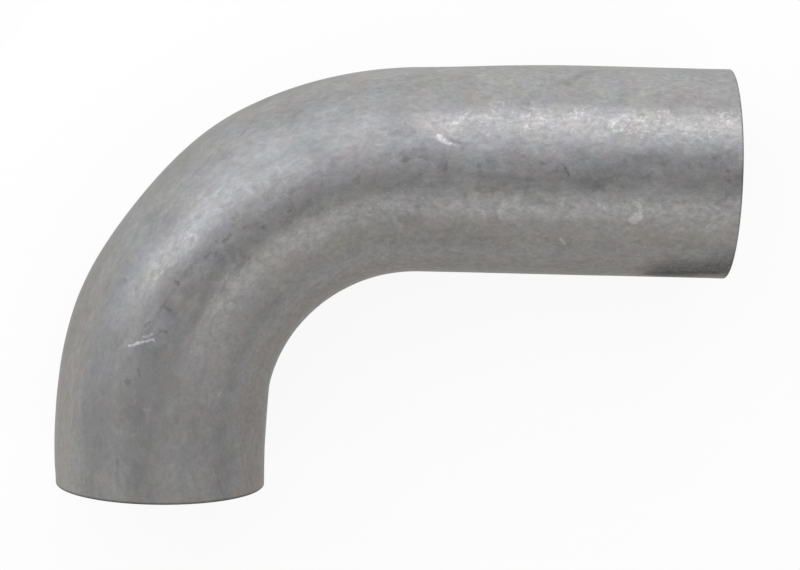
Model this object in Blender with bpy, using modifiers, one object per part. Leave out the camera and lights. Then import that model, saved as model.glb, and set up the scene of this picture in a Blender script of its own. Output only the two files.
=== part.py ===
"""Tube bend: one length of thick-walled round tube, drawn round a tight former to a right angle.

It lies on its side, as it comes to rest on a bench. The long leg points along +X, the short leg along -Y,
and the whole bend lies in one level plane, half an outer diameter above the bench. The origin is on the
bench, under the centre of the part's box. Sizes are in metres.

The outer skin is swept first, in the bend's own frame: the centre of the bend's arc at the origin, the
centreline in the XY plane, and the start of the bend, where the long leg ends, at (0, R, 0). A place along
the tube is the length of centreline from that start, negative on the long leg.
"""

import math

import bmesh
import bpy
from mathutils import Matrix, Vector

# Driving sizes
OUTER_DIAMETER = 0.0483
WALL = 0.0037
CENTRELINE_RADIUS = 0.0588
BEND_ANGLE = math.radians(90)
LONG_LEG = 0.0704
SHORT_LEG = 0.0165
RIM_BREAK = 0.0004

# How bending changed the tube. The metal stretches on the outside of the bend and bunches up on the inside,
# and the thickness of the wall takes this share of it.
WALL_SHARE_OF_STRETCH = 0.5
# Past each end of the bend, the changed wall runs out along the leg over this length.
WALL_RUN_OUT = 0.010
# The outside of the bend is drawn in at two places, which leaves a long shallow flat at each. A flat has its
# middle as a share of the way round the bend, the depth that the skin is drawn in there, and the length over
# which that fades out to each side.
FLATS = (
    {"middle": 0.10, "depth": 0.0014, "fade": 0.045},
    {"middle": 0.58, "depth": 0.0012, "fade": 0.022},
)

# Fineness of the mesh
SIDES = 64
BEND_STEPS = 30
LEG_STEP = 0.008
RIM_STEPS = 2

# Worked out from the sizes above
NAME = "tube_bend"
OUTER_RADIUS = OUTER_DIAMETER / 2
BEND_LENGTH = CENTRELINE_RADIUS * BEND_ANGLE
TIGHTNESS = OUTER_RADIUS / CENTRELINE_RADIUS


def clear_scene():
    for obj in list(bpy.data.objects):
        bpy.data.objects.remove(obj)


def dull_aluminium():
    """Bare aluminium as it left the mill, tumbled dull."""
    material = bpy.data.materials.new("dull_aluminium")
    material.use_nodes = True
    shader = material.node_tree.nodes["Principled BSDF"]
    shader.inputs["Base Color"].default_value = (0.50, 0.50, 0.50, 1.0)
    shader.inputs["Metallic"].default_value = 1.0
    shader.inputs["Roughness"].default_value = 0.45
    return material


def leg_steps(length, changed):
    """Steps along a leg of one length, from the bend outwards: fine where it is changed, then one to its end."""
    changed = min(changed, length)
    count = max(1, math.ceil(changed / LEG_STEP))
    steps = [changed / count] * count
    if length > changed:
        steps.append(length - changed)
    return steps


def step_out(bm, ring, move):
    """Extrudes a ring of edges, moves the new ring by a matrix, and returns its edges."""
    made = bmesh.ops.extrude_edge_only(bm, edges=ring)["geom"]
    verts = [item for item in made if isinstance(item, bmesh.types.BMVert)]
    bmesh.ops.transform(bm, matrix=move, verts=verts)
    fresh = set(verts)
    return [item for item in made if isinstance(item, bmesh.types.BMEdge) and fresh.issuperset(item.verts)]


def sweep_skin(bm):
    """The tube's outer skin, open at both ends: the long leg, the bend, then the short leg."""
    flats_reach = max(flat["fade"] - flat["middle"] * BEND_LENGTH for flat in FLATS)
    long_steps = leg_steps(LONG_LEG, max(WALL_RUN_OUT, flats_reach))
    short_steps = leg_steps(SHORT_LEG, WALL_RUN_OUT)

    far_end = Matrix.Translation((LONG_LEG, CENTRELINE_RADIUS, 0)) @ Matrix.Rotation(math.pi / 2, 4, "Y")
    bmesh.ops.create_circle(bm, segments=SIDES, radius=OUTER_RADIUS, matrix=far_end)
    ring = list(bm.edges)
    for step in reversed(long_steps):
        ring = step_out(bm, ring, Matrix.Translation((-step, 0, 0)))
    for _ in range(BEND_STEPS):
        ring = step_out(bm, ring, Matrix.Rotation(BEND_ANGLE / BEND_STEPS, 4, "Z"))
    heading = Vector((-math.cos(BEND_ANGLE), -math.sin(BEND_ANGLE), 0))
    for step in short_steps:
        ring = step_out(bm, ring, Matrix.Translation(heading * step))
    bmesh.ops.recalc_face_normals(bm, faces=bm.faces)


def place_in_tube(point):
    """Where a point of the skin lies: its place along the tube, and how far it faces out of the bend, -1 to 1."""
    if point.x > 0 and point.y > 0:
        return -point.x, (point.y - CENTRELINE_RADIUS) / OUTER_RADIUS
    turned = math.atan2(-point.x, point.y) % math.tau
    if turned <= BEND_ANGLE:
        return turned * CENTRELINE_RADIUS, (point.xy.length - CENTRELINE_RADIUS) / OUTER_RADIUS
    back = Matrix.Rotation(-BEND_ANGLE, 4, "Z") @ point
    return BEND_LENGTH - back.x, (back.y - CENTRELINE_RADIUS) / OUTER_RADIUS


def outward_at(along):
    """The direction out of the bend at a place along the tube."""
    turned = min(max(along / CENTRELINE_RADIUS, 0), BEND_ANGLE)
    return Vector((-math.sin(turned), math.cos(turned), 0))


def draw_in_flats(bm):
    """Draws the skin in at the two flats, most in the middle of the outside, and less round to the sides."""
    for vert in bm.verts:
        along, facing = place_in_tube(vert.co)
        depth = 0
        for flat in FLATS:
            distance = abs(along - flat["middle"] * BEND_LENGTH)
            if distance < flat["fade"]:
                depth += flat["depth"] * math.cos(math.pi / 2 * distance / flat["fade"]) ** 2
        vert.co -= outward_at(along) * depth * max(facing, 0) ** 2


def wall_factor(along, facing):
    """The wall at a place, as a share of the straight tube's wall."""
    past_bend = max(-along, along - BEND_LENGTH, 0)
    bent = math.cos(math.pi / 2 * min(past_bend / WALL_RUN_OUT, 1)) ** 2
    return 1 / (1 + WALL_SHARE_OF_STRETCH * TIGHTNESS * facing * bent)


def make_tube(collection, material):
    mesh = bpy.data.meshes.new(NAME)
    bm = bmesh.new()
    sweep_skin(bm)
    factors = [wall_factor(*place_in_tube(vert.co)) for vert in bm.verts]
    draw_in_flats(bm)
    bm.to_mesh(mesh)
    bm.free()
    mesh.shade_smooth()
    mesh.materials.append(material)

    tube = bpy.data.objects.new(NAME, mesh)
    collection.objects.link(tube)
    thickest = max(factors)
    wall_group = tube.vertex_groups.new(name="wall")
    for index, factor in enumerate(factors):
        wall_group.add([index], factor / thickest, "REPLACE")

    wall = tube.modifiers.new("Wall", "SOLIDIFY")
    wall.thickness = WALL * thickest
    wall.offset = -1
    wall.use_even_offset = True
    wall.vertex_group = wall_group.name
    rims = tube.modifiers.new("Rims", "BEVEL")
    rims.width = RIM_BREAK
    rims.segments = RIM_STEPS
    rims.limit_method = "ANGLE"
    rims.angle_limit = math.radians(60)
    rims.harden_normals = True
    return tube


def lay_on_bench(tube):
    """Puts the origin on the bench, under the centre of the part's box."""
    points = [vert.co for vert in tube.data.vertices]
    low = Vector([min(point[axis] for point in points) for axis in range(3)])
    high = Vector([max(point[axis] for point in points) for axis in range(3)])
    tube.location = (-(low.x + high.x) / 2, -(low.y + high.y) / 2, -low.z)


def main():
    clear_scene()
    collection = bpy.data.collections.new(NAME)
    bpy.context.scene.collection.children.link(collection)
    tube = make_tube(collection, dull_aluminium())
    lay_on_bench(tube)


main()
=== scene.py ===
"""Looks of the tube bend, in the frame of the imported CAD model.

The tube is made again from the named sizes in part.py, much finer, with its ripples, dents and marks, and
stands for the CAD solid. A place on it is given by the length of centreline from the start of the bend, as in
part.py, negative on the long leg, and by the angle round the tube, 0 on the outside of the bend and 90 on
top. Sizes are in metres unless a name or a comment says otherwise.
"""

import math

import bpy
import numpy as np
from mathutils import Matrix, Vector, noise


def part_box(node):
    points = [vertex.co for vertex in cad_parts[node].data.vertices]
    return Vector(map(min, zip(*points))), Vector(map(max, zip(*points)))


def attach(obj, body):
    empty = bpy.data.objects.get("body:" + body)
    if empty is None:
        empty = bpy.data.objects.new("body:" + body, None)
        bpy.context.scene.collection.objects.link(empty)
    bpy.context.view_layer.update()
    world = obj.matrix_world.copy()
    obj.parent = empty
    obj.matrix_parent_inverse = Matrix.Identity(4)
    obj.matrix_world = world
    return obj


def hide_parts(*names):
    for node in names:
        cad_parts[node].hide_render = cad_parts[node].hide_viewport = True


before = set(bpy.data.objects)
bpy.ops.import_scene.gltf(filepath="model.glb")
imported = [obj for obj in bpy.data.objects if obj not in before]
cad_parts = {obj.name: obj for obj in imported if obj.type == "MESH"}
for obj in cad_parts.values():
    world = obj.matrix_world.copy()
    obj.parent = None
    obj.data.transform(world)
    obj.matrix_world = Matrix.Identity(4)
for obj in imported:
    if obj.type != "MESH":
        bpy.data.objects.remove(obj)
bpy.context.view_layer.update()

# Sizes of the tube, the same as in part.py
OUTER_RADIUS = 0.0483 / 2
WALL = 0.0037
CENTRELINE_RADIUS = 0.0588
BEND_ANGLE = math.radians(90)
BEND_LENGTH = CENTRELINE_RADIUS * BEND_ANGLE
LONG_LEG = 0.0704
SHORT_LEG = 0.0165
RIM_BREAK = 0.0004
WALL_SHARE_OF_STRETCH = 0.5
WALL_RUN_OUT = 0.010
FLATS = (
    {"middle": 0.10, "depth": 0.0014, "fade": 0.045},
    {"middle": 0.58, "depth": 0.0012, "fade": 0.022},
)
LONG_END = -LONG_LEG
SHORT_END = BEND_LENGTH + SHORT_LEG

# The rounding of a rim's outer edge, finer than in part.py
OUTER_RIM_BREAK = 0.00025

# Fineness of the mesh
SIDES = 280
SKIN_RINGS = 250
BORE_RINGS = 52
RIM_STEPS = 3
# How far from the corner the first ring past a rim's rounding lies, as a share of the rounding's width
RIM_MARGIN = 1.3

# The looks of the tube's faces, in the order of its materials
LOOKS = ("skin", "end", "bore")

# Ripples left in the skin by bending and tumbling: the size of a ripple, and its middle depth
RIPPLES = ((0.016, 0.000030), (0.006, 0.000012), (0.0025, 0.000005))

# Dents: place along in mm, angle round in degrees, length along and width round in mm, depth in mm
DENTS = (
    (-6, 64, 3.4, 2.6, 0.030),
    (-47.5, 107, 2.4, 2, 0.005),
    (55, 66, 9, 3, 0.040),
    (-31, 83, 1.5, 1.2, 0.015),
    (-20, 118, 5, 3, 0.020),
    (72.5, 74, 2.4, 2.4, 0.020),
    (20, 95, 7, 4, 0.030),
    (-58, 40, 4, 3, 0.020),
)
# Places that stand out, given in the same way with a depth below zero. Bending left the short leg a little
# oval.
SWELLINGS = (
    (99, 0, 27, 44, -0.46),
    (89, 180, 24, 40, -0.40),
)
# The ripples, dents and swellings run out over this length before each end of the tube
RUN_OUT_AT_END = 0.004

# Marks on the skin, with painted highlight, painted shade and a painted dark reflection among them. A row
# gives half the mark's width in mm, how many times brighter it makes the metal, and its way over the skin in
# mm along and degrees round. A way of one place is a spot.
MARKS = (
    # The deep crescent where the long leg meets the bend, with the worn patch inside it
    (0.6, 1.8, ((-2.5, 68), (-3, 70), (-4, 71.5), (-5, 72.5))),
    (0.35, 1.4, ((-5, 72.5), (-7, 73.5))),
    (0.5, 0.8, ((-4, 68), (-5.5, 70), (-7.5, 71.5))),
    (0.55, 1.3, ((-4.5, 60.5), (-6.5, 60.5))),
    (2.2, 1.1, ((-4.5, 64.5), (-7, 66))),
    # Brighter places in the highlight of the long leg: worn marks, and painted highlight in the three widest
    # rows
    (0.5, 1.16, ((-13, 55), (-13.5, 61))),
    (0.5, 1.12, ((-23.5, 46), (-25.5, 57))),
    (0.6, 1.2, ((-25.5, 57),)),
    (0.5, 1.15, ((-21.5, 56),)),
    (0.5, 1.12, ((-16.5, 68), (-16.5, 71.5))),
    (0.5, 1.22, ((-41, 59), (-42.5, 55.5), (-44, 54), (-46, 54), (-47, 56.5))),
    (1.4, 1.08, ((-37.5, 66.5), (-41.5, 65.5))),
    (0.5, 1.16, ((-51, 65), (-52.5, 65.5), (-53.5, 70))),
    (0.8, 1.14, ((-48.5, 49.5), (-50, 55.5))),
    (1.6, 1.08, ((-54, 55.5), (-57.5, 61))),
    (1.8, 1.08, ((-66.5, 54.5), (-69, 60.5))),
    # Small marks on the inner side of the long leg and the start of the bend
    (0.4, 1.42, ((-30.5, 124.5), (-31.5, 126.5), (-32, 129))),
    (0.35, 1.22, ((-63, 115), (-63.5, 113))),
    (0.9, 1.08, ((3, 109), (2, 111))),
    (0.55, 1.17, ((-13, 109.5), (-13.5, 113.5))),
    (0.55, 1.2, ((-16.5, 108), (-17, 112.5))),
    (1, 1.1, ((-61.5, 117), (-65, 113.5))),
    (0.45, 1.14, ((8, 111.5), (8, 114.5))),
    # Marks round the bend and on the short leg
    (0.45, 1.22, ((52.5, 65.5), (51, 66.5), (50, 68.5), (50.5, 71))),
    # Painted highlight along the ridge beside the dent at 55 mm
    (0.45, 1.14, ((61.5, 66), (58.5, 67.5), (55, 70.5), (51.5, 72))),
    (0.35, 2.3, ((75.5, 68.5), (74, 74), (72.5, 79.5))),
    (0.3, 1.85, ((73, 74), (71.5, 78.5))),
    (0.3, 1.3, ((82, 123), (80, 125))),
    (0.45, 1.25, ((87.5, 83.5), (87.5, 85.5))),
    (0.9, 1.08, ((88, 93), (87.5, 98.5))),
    (0.35, 1.14, ((93.5, 76), (93, 78.5))),
    # The next four rows: painted highlight along the ridge inside the bend's highlight, painted shade beside
    # the ridge, and painted shade along the highlight's inner edge
    (1.1, 1.08, ((50, 102), (65, 102.5), (71.5, 103))),
    (0.5, 1.13, ((47, 94.5), (57.5, 98), (65.5, 99), (73.5, 101.5))),
    (1.2, 0.93, ((53.5, 91), (62.5, 94.5), (67.5, 95.5))),
    (0.6, 0.9, ((46.5, 80.5), (54.5, 78.5), (64, 77.5), (73.5, 75.5))),
    (0.4, 0.78, ((48, 79), (48, 81.5))),
    (0.4, 0.68, ((50.5, 81.5), (52, 81))),
    (0.35, 0.68, ((59.5, 76), (60, 78.5))),
    (0.4, 0.74, ((65.5, 78.5), (65.5, 81.5))),
    (0.4, 0.68, ((70.5, 73), (69.5, 74))),
    (0.35, 0.72, ((70.5, 81.5), (70, 84.5))),
    (0.4, 0.74, ((79.5, 77), (80.5, 78))),
    # Dark specks and smears
    (0.4, 0.62, ((-30.5, 82.5), (-31.5, 87.5))),
    (0.6, 0.7, ((-11.5, 83.5),)),
    (0.55, 0.77, ((-4.5, 83), (-4, 86.5))),
    (0.65, 0.7, ((-64, 77),)),
    (0.55, 0.7, ((-67, 83.5),)),
    (0.65, 0.72, ((-67, 89),)),
    (0.5, 0.7, ((-61, 81.5),)),
    (1.1, 0.84, ((-31.5, 32), (-37.5, 15))),
    (1.1, 0.88, ((-51, 40), (-54, 36.5))),
    (1.1, 0.88, ((-55.5, 42.5), (-61, 40))),
    (1, 0.93, ((-43.5, 44.5), (-45.5, 47))),
    (1, 0.94, ((-25.5, 39), (-28, 35.5))),
    (1.5, 0.93, ((-22.5, 101.5), (-26.5, 104.5))),
    (1.5, 0.94, ((-2.5, 120.5), (-7, 117))),
    (0.9, 0.87, ((-12, 88.5), (-24, 89.5), (-36, 90))),
    (0.55, 0.82, ((65.5, 77),)),
    (0.5, 0.82, ((60, 77),)),
    (0.55, 0.62, ((31.5, 90.5),)),
    (0.55, 0.68, ((38.5, 90.5),)),
    (0.75, 0.72, ((50, 84),)),
    (0.9, 0.88, ((73.5, 86),)),
    (0.45, 0.68, ((45, 82.5), (47, 82.5))),
    (0.3, 0.88, ((77, 61), (73.5, 65), (72, 63.5))),
    (0.5, 0.88, ((99, 70), (105, 69.5))),
    (0.45, 0.86, ((100.5, 123), (103.5, 125.5), (106.5, 127.5))),
    (0.5, 0.86, ((-46.5, 126), (-48.5, 124.5))),
    # Wide soft areas of painted shade, where the gain is below 1, and painted highlight, where it is above 1
    (4.5, 0.8, ((5, 60),)),
    (5, 0.87, ((-8, 29), (29, 33))),
    (3.5, 0.89, ((3, 111), (18, 110))),
    (3.5, 1.13, ((-70, 121), (-57, 118))),
    (2.8, 1.14, ((26, 71), (44, 70.5), (53, 71.5))),
    (4.5, 0.87, ((53, 54), (53, 38))),
    (3, 1.07, ((33, 100), (62, 100))),
    # A painted dark reflection: a dark patch low on the inner side of the long leg's end
    (7.5, 0.38, ((-57, 155.5), (-71, 148.5))),
    (1.5, 0.42, ((-53.5, 156.5), (-67, 154))),
    (1.3, 0.34, ((-52, 160), (-62.5, 160))),
    (1, 0.45, ((-54.5, 164), (-65, 162.5))),
)
# Marks with a plain middle and a clear edge, given in the same way: the pale comma, and three dark spots
PLAIN_MARKS = (
    (0.6, 1.3, ((-46.5, 101.5), (-47.5, 103), (-48, 106.5))),
    (1.1, 1.36, ((-47.5, 109), (-46.5, 111.5))),
    (0.8, 0.77, ((82.5, 72.5),)),
    (0.65, 0.81, ((65, 49.5),)),
    (0.8, 0.74, ((4.5, 81),)),
)
# Where a mark starts to fade and where it has gone, as shares of half its width
SOFT_EDGE = (0.1, 1.4)
CLEAR_EDGE = (0.7, 1.2)


def across(from_low, from_high, to_low, to_high, value):
    """Maps a value from one range to another, held at its ends."""
    share = min(max((value - from_low) / (from_high - from_low), 0), 1)
    return to_low + (to_high - to_low) * share


def turned_at(along):
    """How far round the bend a place lies, in radians."""
    return min(max(along / CENTRELINE_RADIUS, 0), BEND_ANGLE)


def centre_at(along):
    """The centreline at a place, in the bend's own frame, with the centre of its arc at the origin."""
    turned = turned_at(along)
    heading = Vector((-math.cos(turned), -math.sin(turned), 0))
    past = along - turned * CENTRELINE_RADIUS
    return CENTRELINE_RADIUS * outward_at(along) + heading * past


def outward_at(along):
    """The direction out of the bend at a place."""
    turned = turned_at(along)
    return Vector((-math.sin(turned), math.cos(turned), 0))


def wall_at(along, facing):
    """The wall, thinned on the outside of the bend and thickened on the inside, as in part.py."""
    past_bend = max(-along, along - BEND_LENGTH, 0)
    bent = math.cos(math.pi / 2 * min(past_bend / WALL_RUN_OUT, 1)) ** 2
    tightness = OUTER_RADIUS / CENTRELINE_RADIUS
    return WALL / (1 + WALL_SHARE_OF_STRETCH * tightness * facing * bent)


def flat_depth(along):
    """How far the flats draw the outside of the bend in at a place."""
    depth = 0
    for flat in FLATS:
        distance = abs(along - flat["middle"] * BEND_LENGTH)
        if distance < flat["fade"]:
            depth += flat["depth"] * math.cos(math.pi / 2 * distance / flat["fade"]) ** 2
    return depth


def hollow(along, around):
    """How far the ripples, dents and swellings press the skin in at a place."""
    straight = Vector((along, OUTER_RADIUS * math.cos(around), OUTER_RADIUS * math.sin(around)))
    depth = 0
    for size, amount in RIPPLES:
        depth += amount * (1 + noise.noise(straight / size))
    for place, angle, length, width, middle_depth in DENTS + SWELLINGS:
        sideways = math.remainder(around - math.radians(angle), math.tau) * OUTER_RADIUS
        reach = math.hypot((along - place / 1000) / (length / 2000), sideways / (width / 2000))
        if reach < 1:
            depth += middle_depth / 1000 * (1 - reach * reach) ** 2
    to_end = min(along - LONG_END, SHORT_END - along)
    return depth * across(0, RUN_OUT_AT_END, 0, 1, to_end)


def rings():
    """The tube's rings, once round its wall: along, each side's depth below the skin, and the ring's look."""
    angles = [math.tau * side / SIDES for side in range(SIDES)]
    outer_margin = OUTER_RIM_BREAK * RIM_MARGIN
    inner_margin = RIM_BREAK * RIM_MARGIN
    skin = np.linspace(LONG_END + outer_margin, SHORT_END - outer_margin, SKIN_RINGS)
    bore = np.linspace(SHORT_END - inner_margin, LONG_END + inner_margin, BORE_RINGS)
    for along in skin:
        yield along, [hollow(along, angle) for angle in angles], "skin"
    yield from rim(SHORT_END, 1)
    for along in bore:
        yield along, [wall_at(along, math.cos(angle)) for angle in angles], "bore"
    yield from reversed(list(rim(LONG_END, -1)))


def rim(end, away):
    """One end of the tube, from its skin to its bore: a small rounding, the sawn face, a small rounding."""
    turns = [math.pi / 2 * step / RIM_STEPS for step in range(RIM_STEPS + 1)]
    rounding = [(1 - math.sin(turn), 1 - math.cos(turn)) for turn in turns]
    for back, depth in rounding:
        yield end - away * OUTER_RIM_BREAK * back, [OUTER_RIM_BREAK * depth] * SIDES, "skin"
    for depth in (OUTER_RIM_BREAK * RIM_MARGIN, WALL / 2, WALL - RIM_BREAK * RIM_MARGIN):
        yield end, [depth] * SIDES, "end"
    for back, depth in reversed(rounding):
        yield end - away * RIM_BREAK * back, [WALL - RIM_BREAK * depth] * SIDES, "end"


def make_tube():
    """The tube as one closed mesh, with the place of each point on the tube as if it was straight."""
    points = []
    straight = []
    ring_looks = []
    for along, depths, look in rings():
        outward = outward_at(along)
        centre = centre_at(along)
        flat = flat_depth(along)
        ring_looks.append(look)
        for side in range(SIDES):
            angle = math.tau * side / SIDES
            radius = OUTER_RADIUS - depths[side]
            facing = math.cos(angle)
            out = radius * facing - flat * max(facing, 0) ** 2
            points.append(centre + outward * out + Vector((0, 0, radius * math.sin(angle))))
            straight.append((along, radius * facing, radius * math.sin(angle)))
    count = len(ring_looks)
    faces = []
    face_looks = []
    for ring in range(count):
        after = (ring + 1) % count
        first = ring * SIDES
        next_first = after * SIDES
        for side in range(SIDES):
            beside = (side + 1) % SIDES
            faces.append((first + side, next_first + side, next_first + beside, first + beside))
            face_looks.append(look_between(ring_looks[ring], ring_looks[after]))

    low, high = (Vector(corner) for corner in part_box("tube_bend"))
    arc_centre = Vector((high.x - LONG_LEG, high.y - OUTER_RADIUS - CENTRELINE_RADIUS, low.z + OUTER_RADIUS))
    mesh = bpy.data.meshes.new("tube_skin")
    mesh.from_pydata([point + arc_centre for point in points], [], faces)
    place = mesh.attributes.new("straight", "FLOAT_VECTOR", "POINT")
    place.data.foreach_set("vector", np.array(straight, dtype=np.float32).ravel())
    mesh.polygons.foreach_set("material_index", face_looks)
    mesh.shade_smooth()
    mesh.update()
    tube = bpy.data.objects.new("tube_skin", mesh)
    bpy.context.scene.collection.objects.link(tube)
    return tube


def look_between(look, next_look):
    """The number in LOOKS of the faces between two rings."""
    if "end" in (look, next_look):
        return LOOKS.index("end")
    return LOOKS.index(look)


class Nodes:
    """Short calls that make the nodes of one material."""

    def __init__(self, name):
        self.material = bpy.data.materials.new(name)
        self.material.use_nodes = True
        self.tree = self.material.node_tree
        self.shader = self.tree.nodes["Principled BSDF"]
        self.output = self.tree.nodes["Material Output"]

    def node(self, kind, **settings):
        made = self.tree.nodes.new(kind)
        for name, value in settings.items():
            setattr(made, name, value)
        return made

    def feed(self, socket, value):
        """Links a socket to another, or sets it to a value."""
        if isinstance(value, bpy.types.NodeSocket):
            self.tree.links.new(value, socket)
        else:
            socket.default_value = value

    def place(self, stretch=(1, 1, 1)):
        """The place on the straightened tube. A stretch of 0.3 draws a pattern out to about three times."""
        place = self.node("ShaderNodeAttribute", attribute_type="GEOMETRY", attribute_name="straight")
        if stretch == (1, 1, 1):
            return place.outputs["Vector"]
        return self.vector("MULTIPLY", place.outputs["Vector"], stretch)

    def vector(self, operation, first, second):
        made = self.node("ShaderNodeVectorMath", operation=operation)
        self.feed(made.inputs[0], first)
        self.feed(made.inputs[1], second)
        return made.outputs["Value" if operation in ("DISTANCE", "DOT_PRODUCT") else "Vector"]

    def scaled(self, vector, amount):
        made = self.node("ShaderNodeVectorMath", operation="SCALE")
        self.feed(made.inputs[0], vector)
        self.feed(made.inputs["Scale"], amount)
        return made.outputs["Vector"]

    def warped(self, place, size, amount):
        """The place, pushed about a little, for edges that aren't drawn with a ruler."""
        push = self.node("ShaderNodeTexNoise")
        self.feed(push.inputs["Vector"], place)
        push.inputs["Scale"].default_value = 1 / size
        channels = self.node("ShaderNodeSeparateColor")
        self.feed(channels.inputs[0], push.outputs["Color"])
        way = self.node("ShaderNodeCombineXYZ")
        for axis in range(3):
            self.feed(way.inputs[axis], channels.outputs[axis])
        centred = self.vector("SUBTRACT", way.outputs[0], (0.5, 0.5, 0.5))
        return self.vector("ADD", place, self.scaled(centred, amount))

    def math(self, operation, first, second=0.0):
        made = self.node("ShaderNodeMath", operation=operation)
        self.feed(made.inputs[0], first)
        self.feed(made.inputs[1], second)
        return made.outputs[0]

    def plus(self, first, second):
        return self.math("ADD", first, second)

    def minus(self, first, second):
        return self.math("SUBTRACT", first, second)

    def times(self, first, second):
        return self.math("MULTIPLY", first, second)

    def noise(self, size, place, detail=2.0, roughness=0.5, distortion=0.0, shift=0.0):
        """Soft noise from 0 to 1, with blobs about one size across. A shift sets it apart from the others."""
        made = self.node("ShaderNodeTexNoise")
        self.feed(made.inputs["Vector"], self.vector("ADD", place, (shift, shift, shift)) if shift else place)
        made.inputs["Scale"].default_value = 1 / size
        made.inputs["Detail"].default_value = detail
        made.inputs["Roughness"].default_value = roughness
        made.inputs["Distortion"].default_value = distortion
        return made.outputs["Fac"]

    def span(self, value, from_range, to_range=(0.0, 1.0), smooth=False):
        """Maps a value from one range to another, held at its ends."""
        made = self.node("ShaderNodeMapRange")
        if smooth:
            made.interpolation_type = "SMOOTHSTEP"
            made.clamp = False
        self.feed(made.inputs["Value"], value)
        made.inputs["From Min"].default_value, made.inputs["From Max"].default_value = from_range
        made.inputs["To Min"].default_value, made.inputs["To Max"].default_value = to_range
        return made.outputs["Result"]

    def blend(self, share, first, second, way="MIX"):
        made = self.node("ShaderNodeMix", data_type="RGBA", blend_type=way)
        self.feed(made.inputs["Factor"], share)
        self.feed(made.inputs["A"], first)
        self.feed(made.inputs["B"], second)
        return made.outputs["Result"]

    def tinted(self, colour, tint):
        return self.blend(1.0, colour, tint, "MULTIPLY")

    def grey(self, tone):
        """A tone as a colour."""
        made = self.node("ShaderNodeCombineColor")
        for channel in ("Red", "Green", "Blue"):
            self.feed(made.inputs[channel], tone)
        return made.outputs["Color"]

    def bump(self, height, distance, under=None):
        """A bump of one distance from low to high, on top of the bump under it."""
        made = self.node("ShaderNodeBump")
        made.inputs["Strength"].default_value = 1.0
        made.inputs["Distance"].default_value = distance
        self.feed(made.inputs["Height"], height)
        if under is not None:
            self.feed(made.inputs["Normal"], under)
        return made.outputs["Normal"]

    def finish(self, colour, roughness, normal, metallic):
        self.feed(self.shader.inputs["Base Color"], colour)
        self.feed(self.shader.inputs["Roughness"], roughness)
        self.feed(self.shader.inputs["Normal"], normal)
        self.shader.inputs["Metallic"].default_value = metallic
        return self.material


def on_tube(along_mm, around_deg):
    """A place on the skin of the straightened tube."""
    angle = math.radians(around_deg)
    return (along_mm / 1000, OUTER_RADIUS * math.cos(angle), OUTER_RADIUS * math.sin(angle))


def distance_to_way(n, place, way):
    """The distance from a place to a way over the skin, in metres."""
    points = [on_tube(*point) for point in way]
    if len(points) == 1:
        return n.vector("DISTANCE", place, points[0])
    nearest = None
    for start, end in zip(points, points[1:]):
        whole = Vector(end) - Vector(start)
        past_start = n.vector("SUBTRACT", place, start)
        share = n.vector("DOT_PRODUCT", past_start, tuple(whole / whole.length_squared))
        held = n.math("MINIMUM", n.math("MAXIMUM", share, 0.0), 1.0)
        distance = n.vector("DISTANCE", past_start, n.scaled(tuple(whole), held))
        nearest = distance if nearest is None else n.math("MINIMUM", nearest, distance)
    return nearest


# Colours of the skin. The metal is warmer in some places and cooler in others, and the rest tint it.
WARM = (0.2945, 0.290, 0.282, 1)
COOL = (0.286, 0.289, 0.293, 1)
ROSE = (1.012, 0.988, 1.004, 1)
OLIVE = (0.992, 1.012, 0.988, 1)
CLEAN = (1, 1, 1, 1)
# Painted shade on the inside of the bend, and painted warm light on the outside of the bend towards the short
# leg
PAINTED_SHADE_INSIDE = (0.83, 0.79, 0.75, 1)
PAINTED_WARM_LIGHT_OUTSIDE = (1.04, 1.00, 0.95, 1)
SPECULAR_TINT = (0.75, 0.75, 0.75, 1)
# How dull the skin is in the middle of its range, and how metallic the tube's looks are
SKIN_ROUGHNESS = 0.42
BARE = 1.0
DULL_BORE = 0.7
# The middle of the long leg's highlight, where the rubbed specks get painted glints, in degrees round
HIGHLIGHT_STRIP_ANGLE = 57


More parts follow.
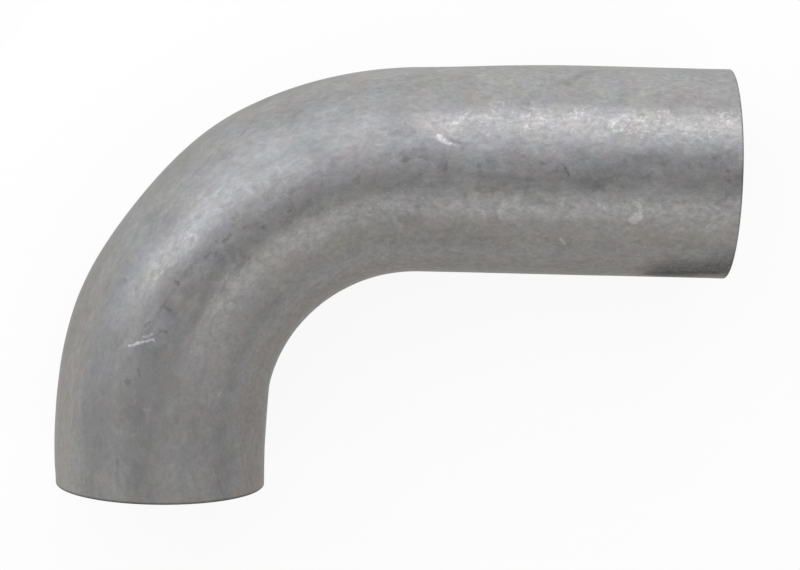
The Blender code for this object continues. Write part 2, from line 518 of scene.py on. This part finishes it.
def tumbled_skin():
    """The mottled, dull skin of bare aluminium that was tumbled and handled, with painted highlights, glints,
    shade and a dark reflection in its colour.
    """
    n = Nodes("tumbled_skin")
    place = n.place()
    drawn = n.place((0.75, 1, 1))
    parts = n.node("ShaderNodeSeparateXYZ")
    n.feed(parts.inputs[0], place)
    along, out, up = parts.outputs

    clouds = n.noise(0.016, place, detail=3, roughness=0.6)
    blotches = n.noise(0.0050, drawn, detail=5, roughness=0.6, distortion=0.5, shift=0.3)
    flakes = n.noise(0.0019, drawn, detail=4, roughness=0.65, distortion=0.6, shift=1.7)
    mottle = n.noise(0.0011, drawn, detail=3, roughness=0.6, distortion=0.3, shift=0.7)
    grain = n.noise(0.00045, place, shift=1.1)
    pits = n.noise(0.0012, place, detail=3, roughness=0.6, distortion=0.6, shift=2.3)
    smudges = n.noise(0.0034, drawn, detail=4, roughness=0.65, distortion=0.6, shift=6.6)

    tone = n.span(clouds, (0.3, 0.7), (0.96, 1.04))
    tone = n.times(tone, n.span(blotches, (0.50, 0.60), (0.98, 1.05), smooth=True))
    tone = n.times(tone, n.span(blotches, (0.36, 0.44), (0.94, 1.0), smooth=True))
    tone = n.times(tone, n.span(flakes, (0.50, 0.62), (0.98, 1.06), smooth=True))
    tone = n.times(tone, n.span(flakes, (0.34, 0.44), (0.93, 1.0), smooth=True))
    tone = n.times(tone, n.span(mottle, (0.3, 0.7), (0.92, 1.08)))
    tone = n.times(tone, n.span(grain, (0.3, 0.7), (0.955, 1.045)))
    # The mottling is calmer towards the short leg
    contrast = n.span(along, (0.0, 0.085), (1.04, 0.78))
    tone = n.plus(n.times(n.minus(tone, 1.0), contrast), 1.0)

    # Dark pits and smudges, most of them along the top
    topmost = n.span(up, (OUTER_RADIUS * 0.93, OUTER_RADIUS * 0.985), (0.25, 1.0), smooth=True)
    topmost = n.times(topmost, n.span(along, (0.050, 0.080), (1.0, 0.35)))
    pitted = n.span(pits, (0.60, 0.70), (0.0, 0.20), smooth=True)
    pitted = n.times(pitted, n.span(blotches, (0.42, 0.56), (1.0, 0.2)))
    smudged = n.span(smudges, (0.50, 0.66), (0.0, 0.16), smooth=True)
    darker = n.times(n.plus(pitted, smudged), topmost)
    tone = n.times(tone, n.minus(1.0, darker))

    # Rubbed specks, brightened as painted glints along the long leg's highlight
    tone = n.times(tone, rubbed_specks_and_glints(n, place, along))
    tone = n.times(tone, hair_scratches(n, place))
    tone = with_marks(n, place, tone)

    # Painted shade: a thin dark line round the rims, plainer at the short end
    painted_rim_shade = n.span(along, (SHORT_END - 0.0007, SHORT_END - 0.0002), (1.0, 0.45), smooth=True)
    tone = n.times(tone, painted_rim_shade)
    painted_rim_shade = n.span(along, (LONG_END + 0.0002, LONG_END + 0.0006), (0.8, 1.0), smooth=True)
    tone = n.times(tone, painted_rim_shade)

    colour = n.tinted(skin_colour(n, place, along, out), n.grey(tone))
    shine = n.plus(n.span(blotches, (0.3, 0.7), (-0.05, 0.05)), n.span(mottle, (0.3, 0.7), (0.05, -0.05)))
    roughness = n.plus(shine, SKIN_ROUGHNESS)

    normal = n.bump(n.noise(0.0030, place, distortion=0.3, shift=5.2), 0.000040)
    normal = n.bump(flakes, 0.000012, normal)
    normal = n.bump(mottle, 0.000012, normal)
    normal = n.bump(grain, 0.000007, normal)

    n.shader.inputs["Specular Tint"].default_value = SPECULAR_TINT
    return n.finish(colour, roughness, normal, BARE)


def rubbed_specks_and_glints(n, place, along):
    """How many times brighter the rubbed specks are, brightened as painted glints in clusters along the long
    leg's highlight.
    """
    ridge = on_tube(0, HIGHLIGHT_STRIP_ANGLE)
    aside = n.vector("DISTANCE", n.vector("MULTIPLY", place, (0, 1, 1)), (0, ridge[1], ridge[2]))
    near_ridge = n.span(aside, (0.0025, 0.0065), (1, 0), smooth=True)
    on_long_leg = n.span(along, (-0.020, 0.004), (1, 0), smooth=True)
    # Painted glints: the specks are brightened only in the strip of the long leg's highlight
    glint_strip = n.times(near_ridge, on_long_leg)
    clusters = n.noise(0.0060, place, distortion=0.3, shift=6.1)
    clusters = n.span(clusters, (0.42, 0.58), (0.32, 1.0), smooth=True)
    specks = n.noise(0.0009, place, detail=3, roughness=0.6, distortion=0.5, shift=7.7)
    specks = n.span(specks, (0.52, 0.66), (0.0, 0.34), smooth=True)
    return n.plus(1.0, n.times(n.times(specks, clusters), glint_strip))


def hair_scratches(n, place):
    """How many times brighter hair scratches are: broken pieces of the contour lines of a wide noise."""
    contour = n.math("ABSOLUTE", n.minus(n.noise(0.010, place, detail=1, shift=8.3), 0.5))
    pieces = n.span(n.noise(0.0035, place, detail=1, shift=9.1), (0.56, 0.64), smooth=True)
    hairs = n.times(n.span(contour, (0.0, 0.008), (0.12, 0.0)), pieces)
    return n.plus(1.0, hairs)


def with_marks(n, place, tone):
    """The tone, with every mark of the skin on it, painted light and shade among them. Their edges are
    ragged, and their strength is uneven.
    """
    ragged = n.warped(place, 0.0009, 0.0012)
    broken = n.span(n.noise(0.0007, place, roughness=0.6, shift=3.3), (0.30, 0.52), (0.55, 1.0))
    for marks, (fades_from, gone_at) in ((MARKS, SOFT_EDGE), (PLAIN_MARKS, CLEAR_EDGE)):
        for half_width_mm, gain, way in marks:
            distance = distance_to_way(n, ragged, way)
            half_width = half_width_mm / 1000
            edge = (half_width * fades_from, half_width * gone_at)
            change = n.span(distance, edge, (gain - 1, 0.0), smooth=True)
            tone = n.times(tone, n.plus(1.0, n.times(change, broken)))
    return tone


def skin_colour(n, place, along, out):
    """The metal's colour before its tone: warmer and cooler areas, painted shade on the inside of the bend,
    and painted warm light on its outside towards the short leg.
    """
    tint = n.span(n.noise(0.008, place, detail=3, roughness=0.6, shift=4.1), (0.38, 0.62))
    colour = n.blend(tint, WARM, COOL)
    hue = n.span(n.noise(0.005, place, detail=3, roughness=0.6, shift=5.9), (0.35, 0.65))
    colour = n.tinted(colour, n.blend(hue, ROSE, OLIVE))
    # Painted shade darkens and warms the inside of the bend, and painted warm light warms the outside of the
    # bend towards the short leg; the top keeps the clean colour
    inside = n.span(out, (OUTER_RADIUS * -0.66, OUTER_RADIUS * -0.87), smooth=True)
    colour = n.tinted(colour, n.blend(inside, CLEAN, PAINTED_SHADE_INSIDE))
    outside = n.span(out, (OUTER_RADIUS * 0.60, OUTER_RADIUS * 0.90), smooth=True)
    outside = n.times(outside, n.span(along, (0.055, 0.080), smooth=True))
    return n.tinted(colour, n.blend(outside, CLEAN, PAINTED_WARM_LIGHT_OUTSIDE))


def sawn_end():
    """A sawn end, brighter than the skin, with the saw's lines across it."""
    n = Nodes("sawn_end")
    lines = n.noise(0.00042, n.place((0.2, 0.025, 1)), detail=3, roughness=0.6)
    patches = n.noise(0.0030, n.place((0.2, 0.3, 1)), shift=2.2)
    tone = n.plus(n.span(lines, (0.34, 0.66), (0.28, 0.42)), n.span(patches, (0.3, 0.7), (-0.03, 0.03)))
    colour = n.grey(tone)
    return n.finish(colour, n.span(lines, (0.3, 0.7), (0.30, 0.46)), n.bump(lines, 0.000045), BARE)


def drawn_bore():
    """The bore, as the die left it: smooth, dull, with fine lines along it."""
    n = Nodes("drawn_bore")
    lines = n.noise(0.0006, n.place((0.03, 1, 1)), detail=3, roughness=0.6)
    stains = n.noise(0.008, n.place((0.5, 1, 1)), detail=3, roughness=0.6)
    tone = n.times(n.span(stains, (0.34, 0.66), (0.38, 0.56)), n.span(lines, (0.3, 0.7), (0.84, 1.12)))
    colour = n.grey(tone)
    return n.finish(colour, n.span(lines, (0.3, 0.7), (0.42, 0.56)), n.bump(lines, 0.000025), DULL_BORE)


FLOOR_HALF_WIDTH = 3.0
FLOOR_COLOUR = (0.90, 0.90, 0.90, 1)
# How much of the floor's own light is in what the camera and the metal see of it
FLOOR_GLOW = 0.90
WORLD_STRENGTH = 0.5
WHITE = (1, 1, 1, 1)


def make_floor():
    """A plain white floor. What the camera and the metal see of it is white, with the tube's soft shadow."""
    mesh = bpy.data.meshes.new("floor")
    half = FLOOR_HALF_WIDTH
    corners = [(-half, -half, 0), (half, -half, 0), (half, half, 0), (-half, half, 0)]
    mesh.from_pydata(corners, [], [(0, 1, 2, 3)])
    floor = bpy.data.objects.new("floor", mesh)
    bpy.context.scene.collection.objects.link(floor)
    n = Nodes("white_floor")
    n.tree.nodes.remove(n.shader)
    plain = n.node("ShaderNodeBsdfDiffuse")
    plain.inputs["Color"].default_value = FLOOR_COLOUR
    lit = n.node("ShaderNodeEmission")
    lit.inputs["Color"].default_value = WHITE
    shown = n.node("ShaderNodeMixShader")
    shown.inputs["Fac"].default_value = FLOOR_GLOW
    n.feed(shown.inputs[1], plain.outputs[0])
    n.feed(shown.inputs[2], lit.outputs[0])
    final = n.node("ShaderNodeMixShader")
    n.feed(final.inputs["Fac"], seen_directly(n))
    n.feed(final.inputs[1], plain.outputs[0])
    n.feed(final.inputs[2], shown.outputs[0])
    n.feed(n.output.inputs["Surface"], final.outputs[0])
    mesh.materials.append(n.material)


def seen_directly(n):
    """1 for a ray from the camera or from a glossy or clear surface."""
    path = n.node("ShaderNodeLightPath")
    seen = n.math("MAXIMUM", path.outputs["Is Camera Ray"], path.outputs["Is Glossy Ray"])
    return n.math("MAXIMUM", seen, path.outputs["Is Transmission Ray"])


def make_world():
    world = bpy.data.worlds.new("studio")
    world.use_nodes = True
    bpy.context.scene.world = world
    tree = world.node_tree
    fill = tree.nodes["Background"]
    fill.inputs["Color"].default_value = WHITE
    fill.inputs["Strength"].default_value = WORLD_STRENGTH


def lamp(name, place, away, wide, size, watts, colour=(1, 1, 1)):
    """A rectangular soft lamp that the camera doesn't see.

    It shines against the direction away, and wide is the direction of its width.
    """
    light = bpy.data.lights.new(name, "AREA")
    light.shape = "RECTANGLE"
    light.size, light.size_y = size
    light.energy = watts
    light.color = colour
    obj = bpy.data.objects.new(name, light)
    away = away.normalized()
    wide = wide.normalized()
    turn = Matrix((wide, away.cross(wide), away)).transposed().to_4x4()
    obj.matrix_world = Matrix.Translation(place) @ turn
    obj.visible_camera = False
    bpy.context.scene.collection.objects.link(obj)


# Softboxes round the tube: azimuth (0 on its +Y side, 90 on its +X side) and elevation in degrees, width and
# height, watts, and colour
SOFTBOX_DISTANCE = 0.9
SOFTBOXES = {
    "key_right": (12, 30, (0.55, 0.22), 1.27, (1.00, 0.97, 0.96)),
    "key_low": (10, 20, (0.60, 0.15), 0.24, (0.70, 0.75, 1.00)),
    "key_middle": (335, 32, (0.45, 0.30), 0.52, (0.78, 0.92, 1.00)),
    "key_middle_low": (325, 14, (0.45, 0.18), 0.48, (0.85, 0.87, 1.00)),
    "key_left": (300, 35, (0.45, 0.40), 1.38, (0.98, 0.97, 1.00)),
    "key_left_low": (285, 12, (0.45, 0.18), 0.235, (0.65, 0.77, 1.00)),
    "key_upper": (0, 52, (0.60, 0.25), 0.84, (0.90, 0.91, 1.00)),
    "top": (330, 70, (0.40, 0.30), 0.50, (0.92, 0.88, 1.00)),
    "fill_low": (165, 25, (0.70, 0.40), 0.36, (1.00, 0.86, 0.70)),
    "fill_high": (165, 55, (0.60, 0.30), 0.80, (1.00, 0.98, 0.96)),
    "fill_left": (240, 35, (0.40, 0.40), 0.43, (1.00, 0.94, 0.92)),
    "fill_right": (120, 35, (0.40, 0.40), 0.33, (1.00, 0.90, 0.92)),
}
# Low panels that stand near the outside of the bend and light its flank: place, the direction away from the
# tube, width, and watts
LOW_PANEL_HEIGHT = 0.06
LOW_PANEL_LIFT = 0.001
LOW_PANELS = {
    "low_back": ((0.02, 0.085), (0, 1, 0), 0.18, 0.0155),
    "low_corner": ((-0.088, 0.055), (-0.75, 0.66, 0), 0.08, 0.0057),
    "low_left": ((-0.106, -0.03), (-1, 0, 0), 0.10, 0.0027),
}
# Cards that lie on the floor between them and the tube: place, the direction of their width, size, and watts
CARD_LIFT = 0.002
CARDS = {
    "card_back": ((0.015, 0.075), (1, 0, 0), (0.17, 0.035), 0.0070),
    "card_corner": ((-0.072, 0.045), (1, 1, 0), (0.09, 0.035), 0.0017),
}


def light_studio():
    """Soft keys outside the bend and fills on its other side, as the photograph's highlights show them."""
    upright = Vector((0, 0, 1))
    for name, (azimuth, elevation, size, watts, colour) in SOFTBOXES.items():
        turn = math.radians(azimuth)
        rise = math.radians(elevation)
        level = math.cos(rise)
        away = Vector((math.sin(turn) * level, math.cos(turn) * level, math.sin(rise)))
        place = away * SOFTBOX_DISTANCE + upright * OUTER_RADIUS
        lamp(name, place, away, upright.cross(away), size, watts, colour)
    for name, ((x, y), away, width, watts) in LOW_PANELS.items():
        place = Vector((x, y, LOW_PANEL_HEIGHT / 2 + LOW_PANEL_LIFT))
        lamp(name, place, Vector(away), upright.cross(Vector(away)), (width, LOW_PANEL_HEIGHT), watts)
    for name, ((x, y), wide, size, watts) in CARDS.items():
        lamp(name, Vector((x, y, CARD_LIFT)), -upright, Vector(wide), size, watts)


# The camera, from the outline of the tube in the photograph
CAMERA_PLACE = Vector((-0.02001, 0.07788, 0.61975))
CAMERA_RIGHT = Vector((0.99906, 0.02778, 0.03327))
CAMERA_UP = Vector((-0.02309, 0.99075, -0.13375))
CAMERA_LENS_MM = 117.0
CAMERA_SENSOR_MM = 36.0
CAMERA_CLIP_START = 0.01


def make_camera():
    lens = bpy.data.cameras.new("camera")
    lens.lens = CAMERA_LENS_MM
    lens.sensor_width = CAMERA_SENSOR_MM
    lens.clip_start = CAMERA_CLIP_START
    back = CAMERA_RIGHT.cross(CAMERA_UP).normalized()
    up = back.cross(CAMERA_RIGHT).normalized()
    camera = bpy.data.objects.new("camera", lens)
    turn = Matrix((CAMERA_RIGHT, up, back)).transposed().to_4x4()
    camera.matrix_world = Matrix.Translation(CAMERA_PLACE) @ turn
    bpy.context.scene.collection.objects.link(camera)
    bpy.context.scene.camera = camera


tube = make_tube()
for material in (tumbled_skin(), sawn_end(), drawn_bore()):
    tube.data.materials.append(material)
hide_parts("tube_bend")
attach(tube, "root")

make_floor()
make_world()
light_studio()
make_camera()
bpy.context.scene.view_settings.view_transform = "Standard"
